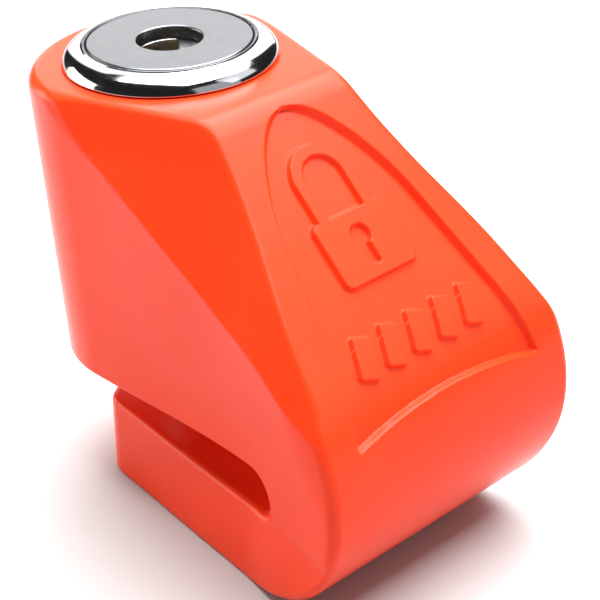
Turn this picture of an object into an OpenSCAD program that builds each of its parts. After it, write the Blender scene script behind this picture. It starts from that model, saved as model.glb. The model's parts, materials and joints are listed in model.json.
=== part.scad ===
// Push-down disc brake lock: a sloped die-cast body with a slot for the brake disc, and a lock
// barrel that drives a hardened pin across the slot when its round head is pressed down.
//
// Frame: +Z up along the barrel, +X towards the closed, sloped end, the slot's mouth on -X.
// The origin is the middle of the body's footprint, on the surface that it stands on.

/* [Body] */
// Overall length, from the nose to the rounded rear
body_l = 62.9; // [62:0.1:65]
// Height of the flat top round the lock head
body_h = 54.3; // [54:0.1:56]
// Radius of the nose round the barrel, at the height of the slot's ceiling
nose_r = 15.9; // [15.6:0.1:16.6]
// Width of the rear, between the outermost edges
rear_w = 39.2; // [38:0.2:41]
// Angle between the sloped back and the vertical
slope_angle = 45.5; // [44:0.5:47]
// Radius that rounds the rear into the base
rear_r = 19.2; // [18:0.2:20]
// Radius where the flat top turns into the sloped back
brow_r = 4; // [3:0.5:6]
// Depth of the recessed panel in the sloped back
panel_depth = 0.9; // [0.5:0.1:1.4]

/* [Slot] */
// Height of the slot's floor above the base
slot_floor = 10; // [9:0.5:10.5]
// Height of the slot, which the brake disc fits into
slot_gap = 7.1; // [6.5:0.1:7.5]
// Distance from the barrel's axis to the slot's closed end
slot_reach = 31.8; // [30:0.2:33]

/* [Push head] */
// Outer diameter of the chrome ring
head_d = 26; // [25:0.5:27]
// Diameter of the flat face disc
face_d = 19.9; // [19.5:0.1:20.3]
// Diameter of the keyhole
keyhole_d = 7.9; // [7:0.1:8.4]
// Height of the face above the body's top
head_h = 2.4; // [2.2:0.1:2.8]

/* [Barrel] */
// Diameter of the barrel
barrel_d = 18; // [17.8:0.1:18.2]
// Distance that the barrel rises when it is released
barrel_travel = 10; // [9.8:0.1:10.2]
// Diameter of the coded discs
disc_d = 11; // [10.6:0.1:11]

/* [Locking pin] */
// Diameter of the locking pin
pin_d = 6; // [5.5:0.1:6]
// Depth that the pin reaches into the lower jaw
pin_bite = 2.5; // [2:0.1:2.6]

/* [Hidden] */
$fn = 96;

// Colours
paint = "orangered";
steel = "silver";
hard_steel = "slategray";
chrome = "gainsboro";
rubber = "dimgray";
brass = "goldenrod";

// A cut runs this far past the surface that it opens
past = 1;
// Running gap between a part that turns or slides and the wall round it
run_gap = 0.08;
// Larger than the whole body, for the blocks that trim it
huge = 160;

// Body: the nose is a cone and the sides are planes, all with the same casting draft
draft = 0.03;
nose_top_r = nose_r + draft * (body_h - slot_floor - slot_gap);
nose_base_r = nose_r - draft * (slot_floor + slot_gap);
axis_x = nose_top_r - body_l / 2;              // barrel axis, measured from the origin
rear_cx = body_l - nose_top_r - rear_r;        // axis of the rear rounding, from the barrel axis
slope_n = [cos(slope_angle), sin(slope_angle)];
slope_top_x = (slope_n * [rear_cx, rear_r] + rear_r - slope_n[1] * body_h) / slope_n[0];
brow_t = brow_r * tan((90 - slope_angle) / 2);
slot_ceiling = slot_floor + slot_gap;
slot_mid = slot_floor + slot_gap / 2;
slot_cx = slot_reach - slot_gap / 2;

// Trimming planes of the near and far sides, as [point, azimuth, elevation] of the outward normal
side_plane = [[0, nose_r - 0.05, slot_ceiling], 92.6, -1.72];
flare_x = 27;
flare_plane = [[body_l - nose_top_r, rear_w / 2, rear_r], 98.2, -2.7];
facet_plane = [[0, 15.35, 54], 71.9, 33.4];
jaw_plane = [[0, 11.95, 0], 98, 5.7];
jaw_tip_r = 15.9;
jaw_tip_cx = 8;
jaw_side_x = -2;                                // the jaw's straight sides start here
merge_plane = [[29, 15.6, 0], 108, 3];            // blends the jaw's side into the rear

// Recessed panel, in the plane of the sloped back: u runs down the slope, v across it
panel_u = [1.5, 37.9];
panel_half_w = [[0, 0], [0.05, 3.4], [0.16, 6.7], [0.30, 9], [0.48, 10.3], [0.7, 11.7], [0.87, 13.1],
    [1.045, 13.8]];

// Bores up the barrel axis
bore_floor = 22;
sleeve_r = 10.75;
sleeve_in_r = barrel_d / 2 + run_gap;
sleeve_top = body_h - 1;
bush_r = 5;
socket_r = 5;
socket_floor = 5.2;
pin_r = pin_d / 2;
pin_tip = slot_floor - pin_bite;

// Barrel, bottom to top
plug_floor = 27;
pin_seat = 3.6;                                 // depth of the locking pin's seat in the plug
cross_pin_r = 0.8;
plug_top = 31.3;
chamber_r = 5.6;
chamber_top = 35.4;
web_top = 36;
barrel_r = barrel_d / 2;
barrel_bore_r = 6.5;
head_gap = 0.15;                                // thin shadow gap between the head and the body
flange_floor = body_h + head_gap + 0.1;
flange_top = flange_floor + 0.6;
flange_r = 12;
seal_z = 51.75;
seal_wire_r = 0.56;
seal_ring_r = 8.47;
seal_groove_r = 7.9;
seal_groove_h = 1.5;
face_top = body_h + head_h;
head_r = head_d / 2;
face_r = face_d / 2;
keyhole_r = keyhole_d / 2;

// Rotor
drum_r = barrel_bore_r - run_gap;
drum_in_r = disc_d / 2 + 0.1;
drum_top = 53;
drum_floor_h = 1.3;
tail_r = 1.7;
disc_r = disc_d / 2;
disc_count = 7;
disc_h = 1.4;
spacer_h = 0.8;
disc_z0 = web_top + 0.1 + drum_floor_h;
disc_pitch = disc_h + spacer_h;
disc_bore_r = 3.4;
keyway_flat = 0.95;                             // half-moon keyway: flat this far from the axis
keyway_turn = 50;                               // and facing this way
sidebar_r = 0.6;
gate_angles = [118, 62, 90, 76, 104, 90, 118];
gate_r = sidebar_r + 0.45;
false_gate_r = 0.5;
false_gate_turn = 140;
sidebar_y = drum_r - 0.65;

// Latch: a crank pin under the rotor draws the bolt in by the latch travel in a quarter turn
latch_z = 33.2;
latch_r = 1.5;
latch_travel = 2;
latch_tip = barrel_r + 1.6;
crank_r = latch_travel / sqrt(2);
crank_pin_r = 0.8;
yoke_h = 1.2;
yoke_start = 4.2;
yoke_end = 2.6;
yoke_w = 6;
window_w = 3.6;
bolt_root = 5.3;                                // the bolt's round shank starts here
neck_w = 2.7;                                   // narrow stem between the shank and the yoke
latch_spring_r = 1;
latch_wire_r = 0.2;
latch_spring_end = 7.5;
cam_r = 3;
cam_floor = 33.9;
tail_floor = 34.5;

// Retaining dowel
dowel_z = 48;
dowel_r = 1.25;
dowel_in = 7.55;
dowel_out = 15.1;
groove_in = 7.3;
groove_w = 2 * dowel_r + 0.3;

module at_axis() { translate([axis_x, 0, 0]) children(); }

// Both a shape and its mirror image across the XZ plane
module both_sides() {
    children();
    mirror([0, 1, 0]) children();
}

// The block that lies outside a trimming plane
module outside(plane) {
    translate(plane[0]) rotate([0, -plane[2], plane[1]]) translate([0, -huge / 2, -huge / 2])
        cube([huge / 2, huge, huge]);
}

module tube(r_out, r_in, h) {
    difference() {
        cylinder(r = r_out, h = h);
        translate([0, 0, -past]) cylinder(r = r_in, h = h + 2 * past);
    }
}

// Outline of the body seen from its side, X across and Z up
module side_outline() {
    polygon([[-nose_top_r - past, 0], [rear_cx, 0], [rear_cx, rear_r],
        [rear_cx, rear_r] + rear_r * slope_n,
        [slope_top_x + brow_t * slope_n[1], body_h - brow_t * slope_n[0]],
        [slope_top_x - brow_t, body_h], [-nose_top_r - past, body_h]]);
    translate([rear_cx, rear_r]) circle(r = rear_r, $fn = 180);
    translate([slope_top_x - brow_t, body_h - brow_r]) circle(r = brow_r);
}

// The body without its slot, bores and jaw
module body_blank() {
    intersection() {
        translate([0, huge / 2, 0]) rotate([90, 0, 0]) linear_extrude(huge) side_outline();
        union() {
            cylinder(r1 = nose_base_r, r2 = nose_top_r, h = body_h);
            difference() {
                translate([0, -huge / 4, -past]) cube([body_l, huge / 2, body_h + 2 * past]);
                both_sides() outside(side_plane);
            }
            difference() {
                translate([flare_x, -huge / 4, -past]) cube([body_l, huge / 2, body_h + 2 * past]);
                both_sides() outside(flare_plane);
            }
        }
    }
}

// What is cut away beside the lower jaw, which is narrower than the body above it
module jaw_relief() {
    both_sides() intersection() {
        translate([-body_l / 2, 0, -past]) cube([2 * body_l, huge / 4, slot_mid + past]);
        outside(jaw_plane);
        outside(merge_plane);
    }
    difference() {
        translate([-body_l / 2, -huge / 4, -past])
            cube([body_l / 2 + jaw_side_x, huge / 2, slot_mid + past]);
        translate([jaw_tip_cx, 0, -2 * past]) cylinder(r = jaw_tip_r, h = slot_mid + 4 * past);
    }
}

// Outline of the recessed panel: u down the slope, v across
module panel_outline() {
    difference() {
        polygon(concat([for (p = panel_half_w) [panel_u[0] + p[0] * (panel_u[1] - panel_u[0]), p[1]]],
            [for (i = [len(panel_half_w) - 1:-1:1])
                [panel_u[0] + panel_half_w[i][0] * (panel_u[1] - panel_u[0]), -panel_half_w[i][1]]]));
        translate([panel_u[1] + 55, 0]) circle(r = 55, $fn = 180);
    }
}

module body() {
    color(paint) at_axis() difference() {
        body_blank();
        jaw_relief();
        both_sides() outside(facet_plane);
        // slot, open at the nose and on both sides
        translate([0, huge / 2, slot_mid]) rotate([90, 0, 0]) linear_extrude(huge) {
            translate([slot_cx, 0]) circle(d = slot_gap);
            translate([-body_l, -slot_gap / 2]) square([body_l + slot_cx, slot_gap]);
        }
        // recessed panel on the sloped back
        translate([slope_top_x, 0, body_h]) rotate([0, 90 - slope_angle, 0])
            translate([0, 0, -panel_depth]) linear_extrude(panel_depth + past) panel_outline();
        // barrel bore, bush seat and socket seat
        translate([0, 0, bore_floor]) cylinder(r = sleeve_r, h = body_h);
        translate([0, 0, slot_mid]) cylinder(r = bush_r, h = body_h);
        translate([0, 0, socket_floor]) cylinder(r = socket_r, h = slot_mid - socket_floor);
        // hole of the retaining dowel; its mouth is filled and painted over
        translate([0, 0, dowel_z]) rotate([-90, 0, 0]) cylinder(r = dowel_r, h = dowel_out);
    }
}

module bore_sleeve() {
    color(steel) at_axis() difference() {
        translate([0, 0, bore_floor]) tube(sleeve_r, sleeve_in_r, sleeve_top - bore_floor);
        // window for the latch bolt, long enough for the barrel's whole travel
        translate([-sleeve_r - past, -window_w / 2, latch_z - latch_r - 0.3])
            cube([sleeve_r, window_w, barrel_travel + 2 * latch_r + 0.6]);
        translate([0, 0, dowel_z]) rotate([-90, 0, 0]) cylinder(r = dowel_r, h = huge);
    }
}

module pin_bush() {
    color(hard_steel) at_axis() translate([0, 0, slot_ceiling])
        tube(bush_r, pin_r + run_gap / 2, bore_floor - slot_ceiling);
}

module pin_socket() {
    color(hard_steel) at_axis() difference() {
        translate([0, 0, socket_floor]) cylinder(r = socket_r, h = slot_floor - socket_floor);
        translate([0, 0, pin_tip - 0.5]) cylinder(r = pin_r + 0.3, h = huge);
    }
}

module retaining_pin() {
    color(steel) at_axis() translate([0, dowel_in, dowel_z]) rotate([-90, 0, 0])
        cylinder(r = dowel_r, h = dowel_out - dowel_in);
}

// A round wire wound as a helix with closed ends, from z = 0 to z = h
module coil(r, wire_r, h, turns, steps, sides) {
    rows = turns * steps;
    lead = (h - 2 * wire_r) / turns;
    points = [for (i = [0:rows]) let (a = i * 360 / steps)
        for (k = [0:sides - 1]) let (b = k * 360 / sides, q = r + wire_r * cos(b))
            [q * cos(a), q * sin(a), wire_r + lead * i / steps + wire_r * sin(b)]];
    walls = [for (i = [0:rows - 1]) for (k = [0:sides - 1]) let (n = (k + 1) % sides)
        [i * sides + k, i * sides + n, (i + 1) * sides + n, (i + 1) * sides + k]];
    polyhedron(points, concat(walls, [[for (k = [sides - 1:-1:0]) k]],
        [[for (k = [0:sides - 1]) rows * sides + k]]), convexity = 10);
}

module return_spring() {
    wire_r = 0.55;
    color(steel) at_axis() translate([0, 0, bore_floor + 0.1])
        coil(6.8, wire_r, plug_floor - bore_floor - 0.2, 3, 20, 8);
}

module barrel_shell() {
    color(steel) at_axis() difference() {
        union() {
            translate([0, 0, plug_top]) cylinder(r = barrel_r, h = flange_top - plug_top);
            translate([0, 0, flange_floor]) cylinder(r = flange_r, h = flange_top - flange_floor);
        }
        translate([0, 0, web_top]) cylinder(r = barrel_bore_r, h = huge);
        translate([0, 0, plug_top - past]) cylinder(r = tail_r + run_gap, h = huge);
        translate([0, 0, plug_top - past]) cylinder(r = chamber_r, h = chamber_top - plug_top + past);
        // radial hole of the latch bolt, and the pocket of its spring
        translate([0, 0, latch_z]) rotate([0, -90, 0]) cylinder(r = latch_r + run_gap, h = huge);
        translate([0, 0, latch_z]) rotate([0, 90, 0])
            cylinder(r = latch_spring_r + 0.4, h = latch_spring_end + 0.1);
        // groove that the retaining dowel runs in
        translate([-groove_w / 2, groove_in, dowel_z - barrel_travel - dowel_r - 0.2])
            cube([groove_w, barrel_r, barrel_travel + 2 * dowel_r + 0.4]);
        // groove of the water seal
        translate([0, 0, seal_z - seal_groove_h / 2]) rotate_extrude()
            translate([seal_groove_r, 0]) square([barrel_r, seal_groove_h]);
    }
}

module barrel_plug() {
    color(steel) at_axis() difference() {
        translate([0, 0, plug_floor]) cylinder(r = barrel_r, h = plug_top - plug_floor);
        translate([0, 0, plug_floor - past]) cylinder(r = pin_r, h = pin_seat + past);
        translate([0, 0, plug_floor + pin_seat / 2]) rotate([90, 0, 0])
            cylinder(r = cross_pin_r, h = huge, center = true);
    }
}

module head_bezel() {
    rim_h = 0.4;
    dome_r = 1.75;
    color(chrome) at_axis() translate([0, 0, body_h + head_gap]) difference() {
        intersection() {
            cylinder(r = head_r, h = head_h);
            union() {
                cylinder(r = head_r, h = rim_h);
                // domed shoulder, rounded from the rim to the inner lip
                translate([0, 0, rim_h]) rotate_extrude() {
                    translate([head_r - dome_r, 0]) intersection() {
                        circle(r = dome_r);
                        square(2 * dome_r);
                    }
                    square([head_r - dome_r, dome_r]);
                }
            }
        }
        translate([0, 0, -past]) cylinder(r = face_r + 0.35, h = 2 * past + head_h);
        translate([0, 0, -past]) cylinder(r = flange_r, h = past + 0.1 + flange_top - flange_floor);
    }
}

module face_plate() {
    bevel = 0.35;
    color(steel) at_axis() translate([0, 0, flange_top]) difference() {
        union() {
            cylinder(r = face_r, h = face_top - flange_top - bevel);
            translate([0, 0, face_top - flange_top - bevel])
                cylinder(r1 = face_r, r2 = face_r - bevel, h = bevel);
        }
        translate([0, 0, -past]) cylinder(r = keyhole_r, h = 2 * past + head_h);
    }
}

module head_seal() {
    color(rubber) at_axis() translate([0, 0, body_h + 0.05])
        tube(barrel_r + 1.2, barrel_r, flange_floor - body_h - 0.05);
}

module barrel_o_ring() {
    color(rubber) at_axis() translate([0, 0, seal_z]) rotate_extrude()
        translate([seal_ring_r, 0]) circle(r = seal_wire_r, $fn = 32);
}

module locking_pin() {
    tip_bevel = 0.8;
    color(hard_steel) at_axis() difference() {
        union() {
            translate([0, 0, pin_tip]) cylinder(r1 = pin_r - tip_bevel, r2 = pin_r, h = tip_bevel);
            translate([0, 0, pin_tip + tip_bevel])
                cylinder(r = pin_r, h = plug_floor + pin_seat - pin_tip - tip_bevel);
        }
        translate([0, 0, plug_floor + pin_seat / 2]) rotate([90, 0, 0])
            cylinder(r = cross_pin_r, h = huge, center = true);
    }
}

module pin_cross_pin() {
    length = 2 * barrel_r - 1.2;
    color(steel) at_axis() translate([0, length / 2, plug_floor + pin_seat / 2]) rotate([90, 0, 0])
        cylinder(r = cross_pin_r, h = length);
}

module latch_spring() {
    color(steel) at_axis() translate([yoke_end + 0.1, 0, latch_z]) rotate([0, 90, 0])
        coil(latch_spring_r, latch_wire_r, latch_spring_end - yoke_end - 0.1, 5, 10, 6);
}

// The half-moon hole that the key goes through
module keyway(r, h) {
    rotate(keyway_turn) difference() {
        cylinder(r = r, h = h);
        translate([keyway_flat, -huge / 2, -past]) cube([huge, huge, h + 2 * past]);
    }
}

module rotor_drum() {
    color(brass) at_axis() difference() {
        union() {
            translate([0, 0, web_top + 0.1]) cylinder(r = drum_r, h = drum_top - web_top - 0.1);
            translate([0, 0, tail_floor]) cylinder(r = tail_r, h = disc_z0 - drum_floor_h / 2 - tail_floor);
        }
        translate([0, 0, disc_z0]) cylinder(r = drum_in_r, h = huge);
        // slot of the sidebar, through the drum's wall
        translate([-sidebar_r - run_gap, 0, disc_z0 + 0.5])
            cube([2 * (sidebar_r + run_gap), huge, drum_top - disc_z0 - 1.5]);
    }
}

module drill_plate() {
    plate_h = flange_top - 0.1 - drum_top;
    color(hard_steel) at_axis() translate([0, 0, drum_top]) difference() {
        cylinder(r = drum_r, h = plate_h);
        translate([0, 0, -past]) keyway(keyhole_r - 0.1, plate_h + 2 * past);
    }
}

module sidebar() {
    color(brass) at_axis() translate([0, sidebar_y, disc_z0 + 0.7])
        cylinder(r = sidebar_r, h = drum_top - disc_z0 - 1.9);
}

module tail_cam() {
    color(hard_steel) at_axis() {
        difference() {
            translate([0, 0, cam_floor]) cylinder(r = cam_r, h = chamber_top - 0.1 - cam_floor);
            translate([0, 0, tail_floor]) cylinder(r = tail_r, h = huge);
        }
        translate([-crank_r * cos(45), crank_r * cos(45), latch_z - yoke_h / 2 - 0.1])
            cylinder(r = crank_pin_r, h = cam_floor - latch_z + yoke_h / 2 + 0.1);
    }
}

module detainer_disc(i) {
    color(brass) at_axis() translate([0, 0, disc_z0 + (i - 1) * disc_pitch]) difference() {
        cylinder(r = disc_r, h = disc_h);
        translate([0, 0, -past]) keyway(disc_bore_r, disc_h + 2 * past);
        // true gate under the sidebar, and a shallow false gate beside it
        for (a = [90, gate_angles[i - 1] + false_gate_turn])
            rotate(a) translate([disc_r, 0, -past])
                cylinder(r = a == 90 ? gate_r : false_gate_r, h = disc_h + 2 * past, $fn = 32);
    }
}

module disc_spacers() {
    color(steel) at_axis() for (i = [1:disc_count])
        translate([0, 0, disc_z0 + (i - 1) * disc_pitch + disc_h]) difference() {
            tube(disc_r, disc_bore_r + 0.3, spacer_h);
            rotate(90) translate([disc_r, 0, -past])
                cylinder(r = gate_r, h = spacer_h + 2 * past, $fn = 32);
        }
}

module latch_bolt() {
    slot_x = -crank_r * cos(45);
    color(hard_steel) at_axis() difference() {
        union() {
            translate([-bolt_root, 0, latch_z]) rotate([0, -90, 0])
                cylinder(r = latch_r, h = latch_tip - bolt_root);
            translate([-yoke_start, -yoke_w / 2, latch_z - yoke_h / 2])
                cube([yoke_end + yoke_start, yoke_w, yoke_h]);
            translate([-bolt_root - past, -neck_w / 2, latch_z - yoke_h / 2])
                cube([bolt_root + past - yoke_start / 2, neck_w, yoke_h]);
        }
        // cross slot that the crank pin runs in
        translate([slot_x - crank_pin_r - 0.12, -0.2, latch_z - yoke_h])
            cube([2 * crank_pin_r + 0.24, 2.6, 2 * yoke_h]);
    }
}

body();
bore_sleeve();
pin_bush();
pin_socket();
retaining_pin();
return_spring();
barrel_shell();
barrel_plug();
head_bezel();
face_plate();
head_seal();
barrel_o_ring();
locking_pin();
pin_cross_pin();
latch_spring();
rotor_drum();
drill_plate();
sidebar();
tail_cam();
detainer_disc(1);  // detainer_disc_1
detainer_disc(2);  // detainer_disc_2
detainer_disc(3);  // detainer_disc_3
detainer_disc(4);  // detainer_disc_4
detainer_disc(5);  // detainer_disc_5
detainer_disc(6);  // detainer_disc_6
detainer_disc(7);  // detainer_disc_7
disc_spacers();
latch_bolt();
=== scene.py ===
"""Looks of the disc brake lock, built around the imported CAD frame."""
import json
import math

import bmesh
import bpy
import numpy as np
from mathutils import Matrix, Vector


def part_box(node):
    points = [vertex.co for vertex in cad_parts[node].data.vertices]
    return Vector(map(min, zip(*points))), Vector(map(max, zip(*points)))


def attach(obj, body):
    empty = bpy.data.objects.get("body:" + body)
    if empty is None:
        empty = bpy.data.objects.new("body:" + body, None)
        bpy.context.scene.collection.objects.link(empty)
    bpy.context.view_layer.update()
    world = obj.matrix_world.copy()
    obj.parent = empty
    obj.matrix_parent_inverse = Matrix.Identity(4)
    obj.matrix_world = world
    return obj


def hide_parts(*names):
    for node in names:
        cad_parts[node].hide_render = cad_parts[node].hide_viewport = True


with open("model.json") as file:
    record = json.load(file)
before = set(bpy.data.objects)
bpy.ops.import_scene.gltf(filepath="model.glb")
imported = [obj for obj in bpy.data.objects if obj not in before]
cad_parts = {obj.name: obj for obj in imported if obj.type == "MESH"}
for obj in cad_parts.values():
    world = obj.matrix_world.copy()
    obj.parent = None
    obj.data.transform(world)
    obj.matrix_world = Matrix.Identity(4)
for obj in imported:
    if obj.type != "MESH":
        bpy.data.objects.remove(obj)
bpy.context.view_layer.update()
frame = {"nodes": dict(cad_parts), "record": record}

MM = 0.001
nodes = frame["nodes"]

# ---------------------------------------------------------------- places, from the frame
face_lo, face_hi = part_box("face_plate")
AXIS = Vector(((face_lo.x + face_hi.x) / 2, (face_lo.y + face_hi.y) / 2, 0))
body_lo, body_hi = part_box("body")
TOP_Z = body_hi.z / MM                        # height of the flat top, mm
NOSE_X = (body_lo.x - AXIS.x) / MM            # tip of the nose, from the lock axis, mm
REAR_X = (body_hi.x - AXIS.x) / MM            # outermost point of the rear, mm

# ---------------------------------------------------------------- painted body, in mm from the lock axis
REAR_R = 19.2                                 # radius of the rounded rear
REAR_CX = REAR_X - REAR_R
SLOPE = math.radians(45.5)                    # the sloped back's angle from the vertical
SN = (math.cos(SLOPE), math.sin(SLOPE))       # its outward normal
ST = (math.sin(SLOPE), -math.cos(SLOPE))      # the way down it
BROW_R = 5.5                                  # radius between the flat top and the sloped back
SLOPE_TOP_X = (SN[0] * REAR_CX + SN[1] * REAR_R + REAR_R - SN[1] * TOP_Z) / SN[0]
BROW_T = BROW_R * math.tan((math.pi / 2 - SLOPE) / 2)   # how far that round reaches along the top
DRAFT = 0.04                                  # the sides widen upwards by this much per mm
SLOT_FLOOR, SLOT_CEIL, SLOT_CX = 10.0, 17.1, 28.5
SLOT_R = (SLOT_CEIL - SLOT_FLOOR) / 2
SLOT_MID = (SLOT_CEIL + SLOT_FLOOR) / 2
NOSE_R = -NOSE_X - DRAFT * (TOP_Z - SLOT_CEIL)   # nose radius at the slot's ceiling
SIDE_FLAT = 0.988                             # y counts this much less, so the nose is wider than round
SIDE_CLEAR = 0.05                             # kept free inside the CAD body's width
WIDE_SOFT = 18.9                              # the sides' flare dies out from here on ...
WIDE_MOST = SIDE_FLAT * body_hi.y / MM - SIDE_CLEAR   # ... and never passes this
FACET_W = 15.7                                # half-width of the facet's upper edge at the lock axis
FACET_IN, FACET_OUT = 0.315, 0.631            # the facet draws in per mm of x and out per mm downwards
FACET_LEN = 1.225                             # about the length of the facet's normal with these slopes
JAW_W = 12.4                                  # the lower jaw's half-width at the lock axis, at the floor
JAW_TIP_CX, JAW_TIP_R = 7.9, 16.35            # the round of the jaw's tip
FLARE, FLARE_UP, FLARE_REAR = 0.026, 0.0018, 0.0048   # widening per mm of x, per mm of height, and squared
FLARE_X, REAR_FLARE_X = 8, 20                 # the first softens in over this length, the last starts here
BAND_LEG = 0.8                                # leg of the flat band along the rear's edges
BORE_R, BORE_FLOOR = 10.75, 22.0              # the barrel's bore
SEAT_R, SOCKET_FLOOR = 5.0, 5.2               # seats of the bush and the socket
DOWEL_R, DOWEL_Z, DOWEL_END = 1.25, 48.0, 15.1   # cross hole of the retaining dowel
PANEL_DEPTH, RELIEF = 0.9, 0.65               # how deep the panel is and how high its sign stands
PANEL_TOP, PANEL_FOOT = 1.5, 37.8             # where the panel starts and ends, down the back
PANEL_HALF, PANEL_SPREAD, PANEL_ARCH = 6.6, 0.2, 14.5   # half-width, its growth per mm, length of the arch
PITCH = 0.6                                   # grid of the body's mesh


def step(x, a, b):
    """Smooth step from 0 at a to 1 at b."""
    t = np.clip((x - a) / (b - a), 0, 1)
    return t * t * (3 - 2 * t)


def ramp(x, w):
    """0 below x = 0, then a line that starts softly over w."""
    return np.where(x < 0, 0, np.where(x < w, x * x / (2 * w), x - w / 2))


def both(a, b, r):
    """Intersection of two fields with a rounded edge."""
    return np.minimum(np.maximum(a, b), -r) + np.hypot(np.maximum(a + r, 0), np.maximum(b + r, 0))


def melt(a, b, k):
    """Intersection of two fields that flow into each other over k."""
    h = np.maximum(k - np.abs(a - b), 0) / k
    return np.maximum(a, b) + h * h * k / 4


def profile(x, z):
    """Distance to the side outline, with its rounded brow and rear."""
    qx, qz = x - REAR_CX, z - REAR_R
    slope = qx * SN[0] + qz * SN[1] - REAR_R
    flat = np.maximum(np.maximum(z - TOP_Z, slope), -z)
    rear = (qx > 0) & (qx * ST[0] + qz * ST[1] > 0)
    bx, bz = x - (SLOPE_TOP_X - BROW_T), z - (TOP_Z - BROW_R)
    brow = (bx > 0) & (bx * ST[0] + bz * ST[1] < 0)
    d = np.where(rear, np.hypot(qx, qz) - REAR_R, flat)
    return np.where(brow, np.maximum(np.hypot(bx, bz) - BROW_R, -z), d)


U_REAR = ((REAR_CX + REAR_R * SN[0] - SLOPE_TOP_X) * ST[0]
          + (REAR_R + REAR_R * SN[1] - TOP_Z) * ST[1])


def down_slope(x, z):
    """Distance down the back from the top corner, following the rear rounding."""
    u = (x - SLOPE_TOP_X) * ST[0] + (z - TOP_Z) * ST[1]
    turn = np.arctan2((x - REAR_CX) * ST[0] + (z - REAR_R) * ST[1],
                      (x - REAR_CX) * SN[0] + (z - REAR_R) * SN[1])
    return np.where(u > U_REAR, U_REAR + REAR_R * np.clip(turn, 0, 2.5), u)


def panel(u, v):
    """Signed distance to the recessed panel's outline, an arch with a curved foot."""
    s = np.clip((u - PANEL_TOP) / PANEL_ARCH, 0, 1)
    half = (PANEL_HALF + PANEL_SPREAD * u) * np.sqrt(np.maximum(1 - (1 - s) ** 2, 0))
    grow = np.where(s < 1, 1.5 * (1 - s) + PANEL_SPREAD, PANEL_SPREAD)
    side = (np.abs(v) - half) / np.hypot(1, grow)
    top = np.hypot((PANEL_TOP - u) / 0.9, v * 0.35)
    side = np.where(u < PANEL_TOP, top, side)
    foot = u - (PANEL_FOOT + v * v / 110)
    return both(side, foot, 0.5)


def box2(u, v, cu, cv, hu, hv, turn=0.0, r=0.5):
    """Signed distance to a rounded rectangle centred at (cu, cv) and turned."""
    c, s = math.cos(turn), math.sin(turn)
    a = np.abs((u - cu) * c + (v - cv) * s) - hu + r
    b = np.abs(-(u - cu) * s + (v - cv) * c) - hv + r
    return np.minimum(np.maximum(a, b), 0) + np.hypot(np.maximum(a, 0), np.maximum(b, 0)) - r


def emblem(u, v):
    """A plain padlock sign over a row of slanted bars; u runs down the back and v across it."""
    case = box2(u, v, 19.4, 0, 4.2, 5.6, r=1.1)
    hole = np.minimum(np.hypot(u - 18.3, v) - 1.25, box2(u, v, 20.3, 0, 1.7, 0.55, r=0.3))
    bow = np.abs(np.hypot(np.minimum(u - 10.6, 0), v) - 3.5) - 0.85
    bow = np.maximum(bow, u - 15.6)
    sign = np.minimum(np.maximum(case, -hole), bow)
    for i in range(-2, 3):
        sign = np.minimum(sign, box2(u, v, 30.9, 4.2 * i, 2.6, 1.35, turn=-0.35))
    return sign


def flanks(x, y, z):
    """Distances to the plain upper sides, and to the sides with the facets above and the jaw below."""
    w = np.abs(y)
    up = z - SLOT_CEIL
    wide = (NOSE_R + DRAFT * up + (FLARE + FLARE_UP * np.maximum(up, 0)) * ramp(x, FLARE_X)
            + FLARE_REAR * np.maximum(x - REAR_FLARE_X, 0) ** 2)
    # a little narrower round the slot's ceiling, and wider below it towards the rear
    tuck = 0.35 * step(x, 4, 18) * (1 - step(x, 30, 40)) * step(-up, -12, -2) * (1 - step(-up, 4, 9))
    wide = wide - tuck + 0.9 * step(x, 14, 30) * step(-up, 5, 15)
    over = np.maximum(wide - WIDE_SOFT, 0)
    wide = np.minimum(wide, WIDE_SOFT) + (WIDE_MOST - WIDE_SOFT) * np.tanh(over / (WIDE_MOST - WIDE_SOFT))
    upper = (np.where(x < 0, np.hypot(x, SIDE_FLAT * w), SIDE_FLAT * w) - wide) / 1.01
    # the lower jaw, let go of between the slot's floor and ceiling
    jaw = (JAW_W + 0.14 * x - 0.1 * np.minimum(z, SLOT_CEIL) + 2.4 * step(x, 26, 36)
           + 0.7 * step(x, 4, 20) * (1 - step(z, 1, 10)))
    lower = w - jaw - 8 * step(z, SLOT_FLOOR, SLOT_CEIL)
    side = melt(upper, lower, 3.0)
    # the facets, drawn in a little below their upper edge and flared near the rear
    twist = (0.35 + 0.5 * (1 - step(x, 2, 14))) * (1 - step(x, 20, 34)) * step(TOP_Z - z, 0, 6)
    flare = 0.75 * step(x, 26, 37)
    facet = (w - (FACET_W - FACET_IN * x + FACET_OUT * (TOP_Z - z) - twist + flare)) / FACET_LEN
    side = both(side, facet, 0.15 + 0.6 * (1 - step(x, -4, 4)))
    # the rounded tip of the jaw
    tip = np.where(x < JAW_TIP_CX, np.hypot(x - JAW_TIP_CX, y) - JAW_TIP_R,
                   w - JAW_TIP_R - 0.3 * (x - JAW_TIP_CX))
    return upper, np.where((z < SLOT_MID) & (x < 20), both(side, tip, 1.0), side)


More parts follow.
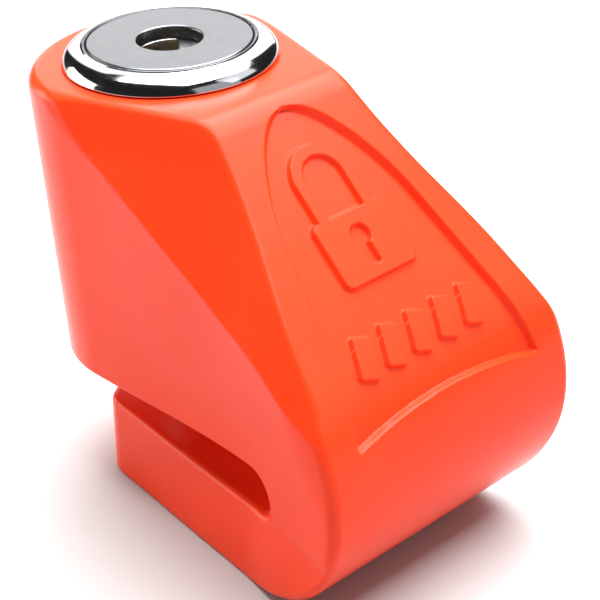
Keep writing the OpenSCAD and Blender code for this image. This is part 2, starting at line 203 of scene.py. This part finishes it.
def body_field(p):
    """Signed field of the painted body, negative inside."""
    x, y, z = p[:, 0], p[:, 1], p[:, 2]
    upper, side = flanks(x, y, z)
    # side outline, with the panel and its relief pressed into the back
    prof = profile(x, z)
    u = down_slope(x, z)
    mask = step(-panel(u, y), -0.3, 0.3)
    relief = step(-emblem(u, y), -0.22, 0.22)
    near = (u > 0) & (x > SLOPE_TOP_X - 6)
    prof = prof + np.where(near, (PANEL_DEPTH - RELIEF * relief) * mask, 0)
    # edge radii: soft round the nose's top, tight down the facet, a little softer at the rear's foot
    nose_top = (1 - step(x, -9, 3)) * step(z, 45, 50)
    rear_foot = step(x, 24, 34) * (1 - step(z, 4, 14))
    d = both(prof, side, 0.5 + 1.3 * nose_top + 0.5 * rear_foot)
    # a flat band along the edge between the side and the rear
    share = step(z, -6, 4)
    band = (prof + upper + BAND_LEG * share - 0.7 * (1 - share)) / math.sqrt(2)
    d = both(d, band, 0.35)
    # slot, with a crisper upper lip
    slot = np.where(x < SLOT_CX, np.abs(z - SLOT_MID), np.hypot(x - SLOT_CX, z - SLOT_MID)) - SLOT_R
    d = both(d, -slot, 0.35 + 0.4 * (1 - step(z, 11, 15)))
    # bores
    q = np.hypot(x, y)
    d = np.maximum(d, -np.maximum(q - BORE_R, BORE_FLOOR - z))
    d = np.maximum(d, -np.maximum(q - SEAT_R, np.maximum(SLOT_MID - z, z - BORE_FLOOR - 1)))
    d = np.maximum(d, -np.maximum(q - SEAT_R, np.maximum(SOCKET_FLOOR - z, z - SLOT_MID)))
    dowel = np.maximum(np.hypot(x, z - DOWEL_Z) - DOWEL_R, np.maximum(-y, y - DOWEL_END))
    return np.maximum(d, -dowel)


def gradient(field, p, e=0.02):
    """Slope of a field at points p, by central differences over e."""
    g = np.empty_like(p)
    for i in range(3):
        o = np.zeros(3)
        o[i] = e
        g[:, i] = (field(p + o) - field(p - o)) / (2 * e)
    return g


def settle(field, p, reach, rounds=4):
    """Moves points onto the zero surface, none further than reach."""
    q = p.copy()
    for _ in range(rounds):
        g = gradient(field, q)
        q = q - g * (field(q) / np.maximum((g * g).sum(1), 0.05))[:, None]
        d = q - p
        far = np.linalg.norm(d, axis=1)
        q = p + d * np.minimum(1, reach / np.maximum(far, 1e-9))[:, None]
    return q


def surface_net(field, low, high, pitch):
    """Quads over the zero surface of a field, one vertex to a crossed cell."""
    axes = [np.arange(a, b + pitch, pitch) for a, b in zip(low, high)]
    n = [len(a) for a in axes]
    grid = np.stack(np.meshgrid(*axes, indexing="ij"), -1).reshape(-1, 3)
    f = np.concatenate([field(c) for c in np.array_split(grid, 8)]).reshape(n)
    inside = f < 0
    cell = [m - 1 for m in n]
    total = np.zeros(cell + [3])
    count = np.zeros(cell)
    corners = [(a, b, c) for a in (0, 1) for b in (0, 1) for c in (0, 1)]
    for a in corners:
        for axis in range(3):
            if a[axis]:
                continue
            b = tuple(v + (i == axis) for i, v in enumerate(a))
            fa = f[a[0]:a[0] + cell[0], a[1]:a[1] + cell[1], a[2]:a[2] + cell[2]]
            fb = f[b[0]:b[0] + cell[0], b[1]:b[1] + cell[1], b[2]:b[2] + cell[2]]
            cross = (fa < 0) != (fb < 0)
            t = np.where(cross, fa / np.where(cross, fa - fb, 1), 0)
            for i in range(3):
                total[..., i] += np.where(cross, a[i] + (t if i == axis else 0), 0)
            count += cross
    used = count > 0
    index = np.full(cell, -1)
    index[used] = np.arange(used.sum())
    where = np.argwhere(used)
    verts = np.array(low) + pitch * (where + total[used] / count[used][:, None])
    quads = []
    for axis in range(3):
        o1, o2 = [i for i in range(3) if i != axis]
        sl_a = [slice(1, m - 1) for m in n]
        sl_b = list(sl_a)
        sl_a[axis], sl_b[axis] = slice(0, n[axis] - 1), slice(1, n[axis])
        a, b = inside[tuple(sl_a)], inside[tuple(sl_b)]
        at = np.argwhere(a != b)
        out = a[a != b]
        base = at.copy()
        base[:, o1] += 1
        base[:, o2] += 1
        ring = []
        for d1, d2 in ((0, 0), (1, 0), (1, 1), (0, 1)):
            c = base.copy()
            c[:, o1] -= d1
            c[:, o2] -= d2
            ring.append(index[c[:, 0], c[:, 1], c[:, 2]])
        q = np.stack(ring, 1)
        turn = out if axis != 1 else ~out
        q[~turn] = q[~turn][:, ::-1]
        quads.append(q)
    return verts, np.concatenate(quads)


def refine(field, verts, tris, normals, bend, shortest):
    """Splits edges whose ends' normals differ by more than bend radians."""
    e = np.sort(np.concatenate([tris[:, [0, 1]], tris[:, [1, 2]], tris[:, [2, 0]]]), 1)
    edges, inverse = np.unique(e, axis=0, return_inverse=True)
    inverse = inverse.reshape(3, -1)
    dot = (normals[edges[:, 0]] * normals[edges[:, 1]]).sum(1)
    long = np.linalg.norm(verts[edges[:, 0]] - verts[edges[:, 1]], axis=1)
    cut = (dot < math.cos(bend)) & (long > shortest)
    mid = np.full(len(edges), -1)
    mid[cut] = len(verts) + np.arange(cut.sum())
    new = (verts[edges[cut, 0]] + verts[edges[cut, 1]]) / 2
    new = settle(field, new, 0.25)
    verts = np.concatenate([verts, new])
    m = mid[inverse].T
    count = (m >= 0).sum(1)
    parts = [tris[count == 0]]
    t, k = tris[count == 3], m[count == 3]
    parts += [np.stack([t[:, 0], k[:, 0], k[:, 2]], 1), np.stack([k[:, 0], t[:, 1], k[:, 1]], 1),
              np.stack([k[:, 2], k[:, 1], t[:, 2]], 1), k]
    for i in range(3):
        j, l = (i + 1) % 3, (i + 2) % 3
        one = (count == 1) & (m[:, i] >= 0)
        t, k = tris[one], m[one, i]
        parts += [np.stack([t[:, i], k, t[:, l]], 1), np.stack([k, t[:, j], t[:, l]], 1)]
        two = (count == 2) & (m[:, i] < 0)
        t, kj, kl = tris[two], m[two, j], m[two, l]
        parts += [np.stack([t[:, i], t[:, j], kj], 1), np.stack([t[:, i], kj, kl], 1),
                  np.stack([kl, kj, t[:, l]], 1)]
    return verts, np.concatenate(parts)


def unit(v):
    """Rows of v, each made one long."""
    return v / np.maximum(np.linalg.norm(v, axis=1), 1e-9)[:, None]


def field_mesh(name, field, low, high, pitch, levels):
    """A mesh object over the zero surface of a field, split finer where it bends."""
    verts, quads = surface_net(field, low, high, pitch)
    verts = settle(field, verts, 0.6 * pitch)
    a, b, c, d = (verts[quads[:, i]] for i in range(4))
    short = np.linalg.norm(a - c, axis=1) <= np.linalg.norm(b - d, axis=1)
    s, t = quads[short], quads[~short]
    tris = np.concatenate([s[:, [0, 1, 2]], s[:, [0, 2, 3]], t[:, [0, 1, 3]], t[:, [1, 2, 3]]])
    for bend, shortest in levels:
        tris_n = unit(gradient(field, verts))
        verts, tris = refine(field, verts, tris, tris_n, bend, shortest)
    normals = unit(gradient(field, verts))
    co = verts * MM + np.array(AXIS)
    me = bpy.data.meshes.new(name)
    me.vertices.add(len(co))
    me.vertices.foreach_set("co", co.astype(np.float32).ravel())
    me.loops.add(tris.size)
    me.loops.foreach_set("vertex_index", tris.astype(np.int32).ravel())
    me.polygons.add(len(tris))
    me.polygons.foreach_set("loop_start", np.arange(0, tris.size, 3, dtype=np.int32))
    me.polygons.foreach_set("use_smooth", np.ones(len(tris), bool))
    me.update(calc_edges=True)
    me.validate()
    me.normals_split_custom_set_from_vertices(normals.tolist())
    obj = bpy.data.objects.new(name, me)
    bpy.context.scene.collection.objects.link(obj)
    print(name, len(verts), "vertices", len(tris), "triangles")
    return obj


# ---------------------------------------------------------------- turned pieces
def arc(cx, cz, r, a0, a1, n):
    """Points of an arc between two angles in degrees."""
    return [(cx + r * math.cos(math.radians(a0 + (a1 - a0) * i / n)),
             cz + r * math.sin(math.radians(a0 + (a1 - a0) * i / n))) for i in range(n + 1)]


def lathe(name, outline, segments=192):
    """A closed ring turned round the lock axis from an outline of (radius, height) points in mm."""
    bm = bmesh.new()
    rings = []
    for i in range(segments):
        t = 2 * math.pi * i / segments
        rings.append([bm.verts.new((AXIS.x + r * MM * math.cos(t), AXIS.y + r * MM * math.sin(t), z * MM))
                      for r, z in outline])
    m = len(outline)
    for i in range(segments):
        a, b = rings[i], rings[(i + 1) % segments]
        for k in range(m):
            n = (k + 1) % m
            bm.faces.new((a[k], b[k], b[n], a[n])).smooth = True
    bmesh.ops.recalc_face_normals(bm, faces=bm.faces)
    me = bpy.data.meshes.new(name)
    bm.to_mesh(me)
    bm.free()
    obj = bpy.data.objects.new(name, me)
    bpy.context.scene.collection.objects.link(obj)
    return obj


def rounded(corners, r=0.2, steps=5, hold=0.05):
    """Rounds the corners of a closed outline and adds a holding point on each side of each round."""
    out = []
    n = len(corners)
    for i, item in enumerate(corners):
        p, rad = Vector(item[:2]), (item[2] if len(item) > 2 else r)
        a, b = Vector(corners[i - 1][:2]) - p, Vector(corners[(i + 1) % n][:2]) - p
        la, lb = a.length, b.length
        a, b = a / la, b / lb
        half = a.angle(b) / 2
        back = rad / math.tan(half)
        if rad < 1e-6:
            out.append(tuple(p))
            continue
        c = p + (a + b).normalized() * (rad / math.sin(half))
        s, e = p + a * back, p + b * back
        if la > 4 * back + hold:
            out.append(tuple(s + a * hold))
        va, ve = s - c, e - c
        turn = math.atan2(va.x * ve.y - va.y * ve.x, va.dot(ve))
        for k in range(steps + 1):
            t = turn * k / steps
            out.append((c.x + va.x * math.cos(t) - va.y * math.sin(t),
                        c.y + va.x * math.sin(t) + va.y * math.cos(t)))
        if lb > 4 * back + hold:
            out.append(tuple(e + b * hold))
    return out


# ---------------------------------------------------------------- materials
def material(name, colour, metallic=0.0, roughness=0.4, **sockets):
    """A new material, with its node tree and its shader node."""
    m = bpy.data.materials.new(name)
    m.use_nodes = True
    n = m.node_tree.nodes["Principled BSDF"]
    n.inputs["Base Color"].default_value = (*colour, 1)
    n.inputs["Metallic"].default_value = metallic
    n.inputs["Roughness"].default_value = roughness
    for key, value in sockets.items():
        n.inputs[key.replace("_", " ")].default_value = value
    return m, m.node_tree, n


def place(tree, scale=(1, 1, 1), shift=(0, 0, 0)):
    """Object coordinates, measured in millimetres from shift (metres) and stretched by scale."""
    c = tree.nodes.new("ShaderNodeTexCoord")
    m = tree.nodes.new("ShaderNodeMapping")
    m.vector_type = "POINT"
    m.inputs["Scale"].default_value = [1000 * s for s in scale]
    m.inputs["Location"].default_value = [-1000 * s * o for s, o in zip(scale, shift)]
    tree.links.new(c.outputs["Object"], m.inputs["Vector"])
    return m.outputs["Vector"]


def noise(tree, vector, scale, detail=3.0, roughness=0.5, distortion=0.0):
    """Noise over a vector in millimetres, with about scale lumps per mm."""
    n = tree.nodes.new("ShaderNodeTexNoise")
    n.inputs["Scale"].default_value = scale
    n.inputs["Detail"].default_value = detail
    n.inputs["Roughness"].default_value = roughness
    n.inputs["Distortion"].default_value = distortion
    tree.links.new(vector, n.inputs["Vector"])
    return n.outputs["Fac"]


def spread(tree, value, low, high, low_in=0.3, high_in=0.7):
    """Stretches a value from the range low_in to high_in over low to high."""
    n = tree.nodes.new("ShaderNodeMapRange")
    for key, v in zip(("From Min", "From Max", "To Min", "To Max"), (low_in, high_in, low, high)):
        n.inputs[key].default_value = v
    tree.links.new(value, n.inputs["Value"])
    return n.outputs["Result"]


def between(tree, value, dark, light):
    """A colour between two, picked by a value from 0 to 1."""
    n = tree.nodes.new("ShaderNodeMix")
    n.data_type = "RGBA"
    n.inputs["A"].default_value = (*dark, 1)
    n.inputs["B"].default_value = (*light, 1)
    tree.links.new(value, n.inputs["Factor"])
    return n.outputs["Result"]


def bump(tree, shader, height, depth, strength=1.0, slot="Normal"):
    """depth is the bump's height in metres."""
    n = tree.nodes.new("ShaderNodeBump")
    n.inputs["Distance"].default_value = depth
    n.inputs["Strength"].default_value = strength
    tree.links.new(height, n.inputs["Height"])
    tree.links.new(n.outputs["Normal"], shader.inputs[slot])
    return n


def mix_value(tree, a, b, share):
    """A value between a and b, with this share of b."""
    n = tree.nodes.new("ShaderNodeMix")
    n.data_type = "FLOAT"
    n.inputs["Factor"].default_value = share
    tree.links.new(a, n.inputs["A"])
    tree.links.new(b, n.inputs["B"])
    return n.outputs["Result"]


def paint_material():
    """Thick satin powder coat with a slow mottle in colour and gloss and a fine orange peel."""
    m, t, s = material("paint_orange", (0.82, 0.045, 0.0096), roughness=0.24, Specular_IOR_Level=0.135)
    v = place(t)
    cloud = noise(t, v, 0.05, 2)
    t.links.new(between(t, spread(t, cloud, 0, 1), (0.80, 0.042, 0.0088), (0.84, 0.047, 0.0104)),
                s.inputs["Base Color"])
    t.links.new(spread(t, noise(t, v, 0.12, 1), 0.23, 0.25), s.inputs["Roughness"])
    bump(t, s, noise(t, v, 0.9, 2, 0.45), 0.00001, 0.5)
    return m


def chrome_material():
    """Polished plating with a faint unevenness."""
    m, t, s = material("chrome", (0.50, 0.515, 0.54), 1.0, 0.1)
    v = place(t)
    t.links.new(spread(t, noise(t, v, 1.2, 4), 0.08, 0.13), s.inputs["Roughness"])
    bump(t, s, noise(t, v, 0.35, 2), 0.00001, 0.4)
    return m


def turned_steel(name, colour, roughness, groove, axis_xy):
    """Steel turned on a lathe: fine rings round an axis through axis_xy."""
    m, t, s = material(name, colour, 1.0, roughness)
    v = place(t, shift=(axis_xy[0], axis_xy[1], 0))
    flat = t.nodes.new("ShaderNodeVectorMath")
    flat.operation = "MULTIPLY"
    flat.inputs[1].default_value = (1, 1, 0)
    t.links.new(v, flat.inputs[0])
    length = t.nodes.new("ShaderNodeVectorMath")
    length.operation = "LENGTH"
    t.links.new(flat.outputs["Vector"], length.inputs[0])
    sep = t.nodes.new("ShaderNodeSeparateXYZ")
    t.links.new(v, sep.inputs[0])
    ring = t.nodes.new("ShaderNodeCombineXYZ")
    t.links.new(length.outputs["Value"], ring.inputs["X"])
    t.links.new(sep.outputs["Z"], ring.inputs["Z"])
    rings = noise(t, ring.outputs["Vector"], 6.0, 3, 0.6)
    cloud = noise(t, v, 0.5, 3)
    rings_and_cloud = mix_value(t, rings, cloud, 0.4)
    t.links.new(spread(t, rings_and_cloud, roughness - 0.03, roughness + 0.04), s.inputs["Roughness"])
    tone = [c * 0.93 for c in colour]
    t.links.new(between(t, spread(t, rings_and_cloud, 0, 1), tone, colour), s.inputs["Base Color"])
    bump(t, s, rings, groove, 0.6)
    return m


def cast_metal(name, colour, roughness, grain):
    """Metal with a fine irregular grain of that depth in metres."""
    m, t, s = material(name, colour, 1.0, roughness)
    v = place(t)
    n = noise(t, v, 2.2, 4, 0.6)
    t.links.new(spread(t, n, roughness - 0.07, roughness + 0.1), s.inputs["Roughness"])
    t.links.new(between(t, spread(t, n, 0, 1), [c * 0.88 for c in colour], colour), s.inputs["Base Color"])
    bump(t, s, n, grain, 0.5)
    return m


def rubber_material():
    """Dull black rubber."""
    m, t, s = material("rubber_black", (0.02, 0.02, 0.021), 0.0, 0.7)
    v = place(t)
    n = noise(t, v, 5.0, 4, 0.6)
    t.links.new(spread(t, n, 0.6, 0.8), s.inputs["Roughness"])
    bump(t, s, n, 0.00003, 0.6)
    return m


axis_xy = (AXIS.x, AXIS.y)
looks = {
    "paint": paint_material(),
    "chrome": chrome_material(),
    "face_steel": turned_steel("face_steel", (0.18, 0.184, 0.192), 0.27, 0.000003, axis_xy),
    "steel": turned_steel("turned_steel", (0.58, 0.58, 0.58), 0.25, 0.000008, axis_xy),
    "hard_steel": turned_steel("hardened_steel", (0.46, 0.46, 0.47), 0.22, 0.000006, axis_xy),
    "spring_steel": cast_metal("spring_steel", (0.50, 0.50, 0.51), 0.3, 0.000004),
    "rubber": rubber_material(),
    "brass": turned_steel("brass", (0.72, 0.50, 0.20), 0.28, 0.000006, axis_xy),
}


def dress(obj, look):
    """Gives an object one material."""
    obj.data.materials.clear()
    obj.data.materials.append(looks[look])


for row in frame["record"]["subparts"]:
    dress(nodes[row["node"]], row["material_slot"])

# ---------------------------------------------------------------- pieces
margin, half_width = 1.3, 20.7                # how far the grid runs past the body, and its half-width
body = field_mesh("painted_body", body_field, (NOSE_X - margin, -half_width, -margin),
                  (REAR_X + margin, half_width, TOP_Z + margin), PITCH, [(0.11, 0.3), (0.15, 0.16)])
dress(body, "paint")
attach(body, "housing")
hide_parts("body")

bezel_lo, bezel_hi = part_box("head_bezel")
b0, b1, br = bezel_lo.z / MM, bezel_hi.z / MM, (bezel_hi.x - bezel_lo.x) / 2 / MM
LIP_R, SKIRT_R, SKIRT_H = 10.4, 12.0, 0.75     # inner edge, and the hollow step under the ring
FOOT_ROUND, LIP_ROUND = 0.12, 0.16            # small rounds at the outer foot and the inner lip
LIP_DROP, LIP_FOOT = 0.18, 0.3                # how far below the top the inner round's centre and foot lie
EDGE_R, CROWN_R = 2.3, 4.0                    # the ring's section is a tight arc that opens into a wide one
EDGE_A, CROWN_A, LIP_A = 12, 62, 88           # where the arcs start and end, in degrees above level
edge_cx = br - EDGE_R * math.cos(math.radians(EDGE_A))
crown_cx = edge_cx - (CROWN_R - EDGE_R) * math.cos(math.radians(CROWN_A))
crown_cz = b1 - CROWN_R
edge_cz = crown_cz + (CROWN_R - EDGE_R) * math.sin(math.radians(CROWN_A))
dome = (arc(br - FOOT_ROUND, b0 + FOOT_ROUND, FOOT_ROUND, -90, 0, 4)
        + arc(edge_cx, edge_cz, EDGE_R, EDGE_A, CROWN_A, 20)
        + arc(crown_cx, crown_cz, CROWN_R, CROWN_A, LIP_A, 14)[1:]
        + arc(LIP_R + LIP_ROUND, b1 - LIP_DROP, LIP_ROUND, 85, 180, 7)
        + [(LIP_R, b1 - LIP_FOOT), (LIP_R, b0 + SKIRT_H), (SKIRT_R, b0 + SKIRT_H), (SKIRT_R, b0)])
bezel = lathe("head_ring", dome, 288)
dress(bezel, "chrome")
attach(bezel, "barrel")
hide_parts("head_bezel")

f0, f1, fr = face_lo.z / MM, face_hi.z / MM, (face_hi.x - face_lo.x) / 2 / MM
KEYHOLE_R, FACE_UNDER, FACE_RIM, KEYHOLE_RIM = 3.95, 0.1, 0.3, 0.28   # keyhole, and the edges' rounds
plate = rounded([(KEYHOLE_R, f0, FACE_UNDER), (fr, f0, FACE_UNDER), (fr, f1, FACE_RIM),
                 (KEYHOLE_R, f1, KEYHOLE_RIM)], steps=6)
face = lathe("face_disc", plate, 256)
dress(face, "face_steel")
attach(face, "barrel")
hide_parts("face_plate")

drill_lo, drill_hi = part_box("drill_plate")
DRILL_R = (drill_hi.x - drill_lo.x) / 2 / MM
DRILL_MID, DRILL_HALF = (drill_hi.z + drill_lo.z) / 2 / MM, (drill_hi.z - drill_lo.z) / 2 / MM
KEYWAY_R, KEYWAY_FLAT, KEYWAY_TURN = 3.85, 0.95, math.radians(50)   # half moon: round, flat side, its turn
DRILL_MARGIN, DRILL_PITCH = 0.5, 0.25


def drill_field(p):
    """Round plate with the half-moon keyway through it."""
    x, y, z = p[:, 0], p[:, 1], p[:, 2]
    q = np.hypot(x, y)
    disc = both(q - DRILL_R, np.abs(z - DRILL_MID) - DRILL_HALF, 0.15)
    flat = x * math.cos(KEYWAY_TURN) + y * math.sin(KEYWAY_TURN) - KEYWAY_FLAT
    return both(disc, -both(q - KEYWAY_R, flat, 0.3), 0.18)


reach = DRILL_R + DRILL_MARGIN
drill = field_mesh("drill_disc", drill_field, (-reach, -reach, DRILL_MID - DRILL_HALF - DRILL_MARGIN),
                   (reach, reach, DRILL_MID + DRILL_HALF + DRILL_MARGIN), DRILL_PITCH, [(0.2, 0.1)])
dress(drill, "steel")
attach(drill, "rotor")
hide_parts("drill_plate")

# ---------------------------------------------------------------- floor, light and camera
floor_mesh = bpy.data.meshes.new("floor")
FLOOR_HALF, FLOOR_GREY = 3.0, (0.49, 0.49, 0.49)
floor_corners = [(x * FLOOR_HALF, y * FLOOR_HALF, 0) for x, y in ((-1, -1), (1, -1), (1, 1), (-1, 1))]
floor_mesh.from_pydata(floor_corners, [], [(0, 1, 2, 3)])
floor = bpy.data.objects.new("floor", floor_mesh)
bpy.context.scene.collection.objects.link(floor)
floor_look = material("pale_floor", FLOOR_GREY, roughness=0.9)[0]
floor_mesh.materials.append(floor_look)

world = bpy.data.worlds.new("studio")
bpy.context.scene.world = world
world.use_nodes = True
sky = world.node_tree.nodes["Background"]
sky.inputs["Color"].default_value = (1, 1, 1, 1)
sky.inputs["Strength"].default_value = 0.025

AIM = Vector((0.006, 0, 0.028))               # what the lights face, near the middle of the object


def softbox(name, towards, far, size, radiance, colour=(1, 1, 1)):
    """A square light of that side length and brightness, facing the object."""
    d = bpy.data.lights.new(name, "AREA")
    d.color = colour
    d.shape = "SQUARE"
    d.size = size
    d.energy = radiance * math.pi * size * size
    o = bpy.data.objects.new(name, d)
    o.location = AIM + Vector(towards).normalized() * far
    o.rotation_mode = "QUATERNION"
    o.rotation_quaternion = (AIM - o.location).to_track_quat("-Z", "Y")
    bpy.context.scene.collection.objects.link(o)


# name, direction from the object, distance and side length in metres, brightness, colour
softbox("light_key", (-0.04, 0.24, 0.96), 0.85, 1.0, 10.6)
softbox("light_back", (-0.65, 0.59, 0.48), 0.80, 0.8, 2.0)
softbox("light_rear", (0.62, 0.55, 0.56), 0.80, 0.5, 1.4)
softbox("light_left", (-0.85, -0.50, 0.02), 0.60, 0.5, 5.7, (1.0, 0.94, 0.84))
softbox("light_right", (0.95, 0.15, 0.25), 0.60, 0.55, 0.6)

CAM_AZ, CAM_EL, CAM_ROLL = (math.radians(v) for v in (47.7135, 28.9163, -2.798))
CAM_AIM, CAM_DIST = Vector((0.00608, 0, 0.02875)), 0.2278
CAM_LENS, CAM_SENSOR = 115.66, 36             # mm
CAM_SHIFT, CAM_CLIP = (0.0011, 0.0016), (0.01, 20)
cam_data = bpy.data.cameras.new("camera")
cam_data.lens, cam_data.sensor_width = CAM_LENS, CAM_SENSOR
cam_data.shift_x, cam_data.shift_y = CAM_SHIFT
cam_data.clip_start, cam_data.clip_end = CAM_CLIP
camera = bpy.data.objects.new("camera", cam_data)
bpy.context.scene.collection.objects.link(camera)
back = Vector((math.sin(CAM_AZ) * math.cos(CAM_EL), -math.cos(CAM_AZ) * math.cos(CAM_EL), math.sin(CAM_EL)))
right = Vector((math.cos(CAM_AZ), math.sin(CAM_AZ), 0))
up = back.cross(right)
right, up = (right * math.cos(CAM_ROLL) + up * math.sin(CAM_ROLL),
             up * math.cos(CAM_ROLL) - right * math.sin(CAM_ROLL))
camera.matrix_world = Matrix.Translation(CAM_AIM + back * CAM_DIST) @ Matrix(
    ((right.x, up.x, back.x), (right.y, up.y, back.y), (right.z, up.z, back.z))).to_4x4()
bpy.context.scene.camera = camera
bpy.context.scene.view_settings.view_transform = "Standard"
